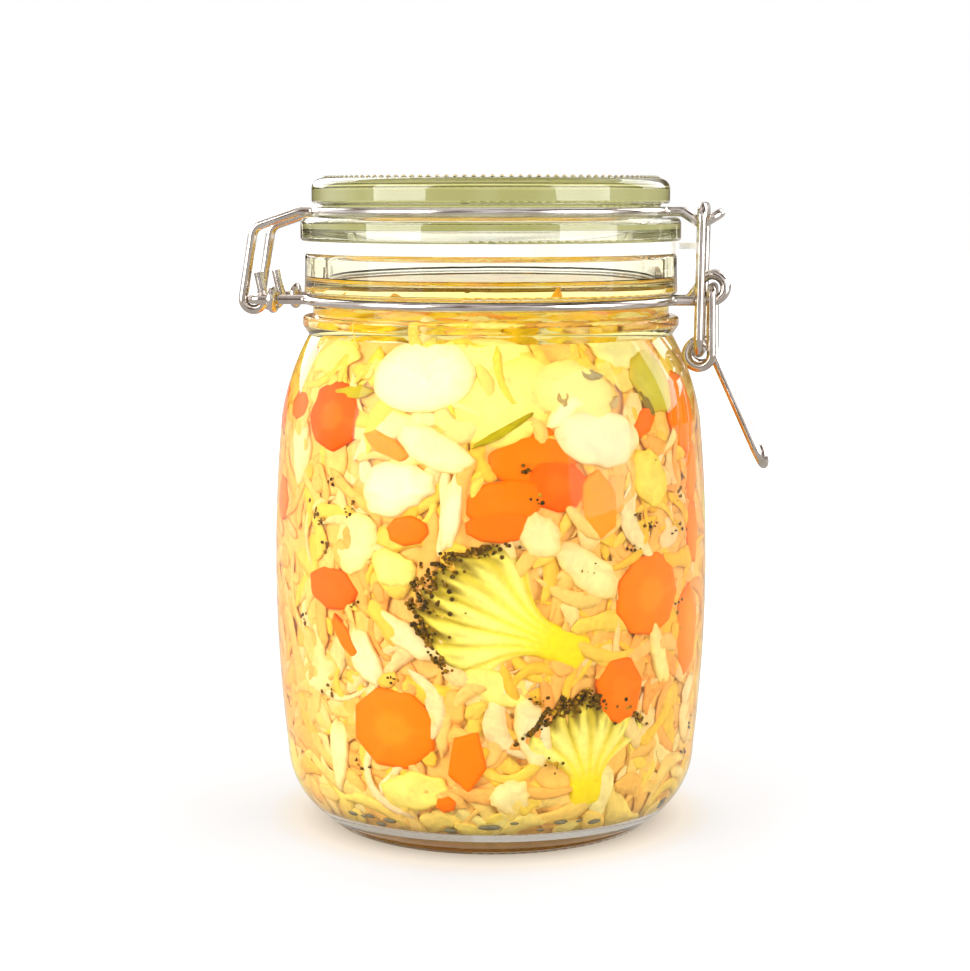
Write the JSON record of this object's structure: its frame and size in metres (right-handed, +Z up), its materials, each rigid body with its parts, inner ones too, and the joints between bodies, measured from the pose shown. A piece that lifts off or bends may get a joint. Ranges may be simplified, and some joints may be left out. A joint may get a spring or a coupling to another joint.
{
  "type": "fermentation jar",
  "caption": "Clip-top glass preserving jar with a hinged glass lid, a rubber seal and a wire clip, filled with mixed pickled vegetables in brine.",
  "frame": {"origin": "centre of the base, in the plane of the ring that the jar stands on", "axes": "+Z up along the jar's axis, +X towards the clip, -X towards the lid's hinge"},
  "size_m": [0.1362, 0.112, 0.1666],
  "materials": {
    "jar_glass": "clear, smooth",
    "contents": "wet vegetables in brine",
    "lid_glass": "clear with a faint green tint, smooth",
    "seal": "matte off-white",
    "wire": "bright drawn wire"
  },
  "bodies": {
    "jar": {"glass_jar": "jar_glass", "contents": "contents", "neck_wire": "wire"},
    "lid": {"glass_lid": "lid_glass", "gasket": "seal", "lid_wire": "wire"},
    "lever": {"lever": "wire"},
    "link": {"link": "wire"}
  },
  "joints": [
    {"name": "lid_hinge", "type": "hinge", "parent": "jar", "child": "lid", "pos_m": [-0.0605, 0, 0.1352], "axis": [0, -1, 0], "range_deg": [0, 180]},
    {"name": "lever_pivot", "type": "hinge", "parent": "jar", "child": "lever", "pos_m": [0.057, 0, 0.1385], "axis": [0, -1, 0], "range_deg": [0, 130]},
    {"name": "link_pivot", "type": "hinge", "parent": "lever", "child": "link", "pos_m": [0.054, 0, 0.1222], "axis": [0, -1, 0], "range_deg": [-80, 0]}
  ],
  "couplings": [
    {"joint": "link_pivot", "follows": "lever_pivot", "ratio": -0.6}
  ]
}
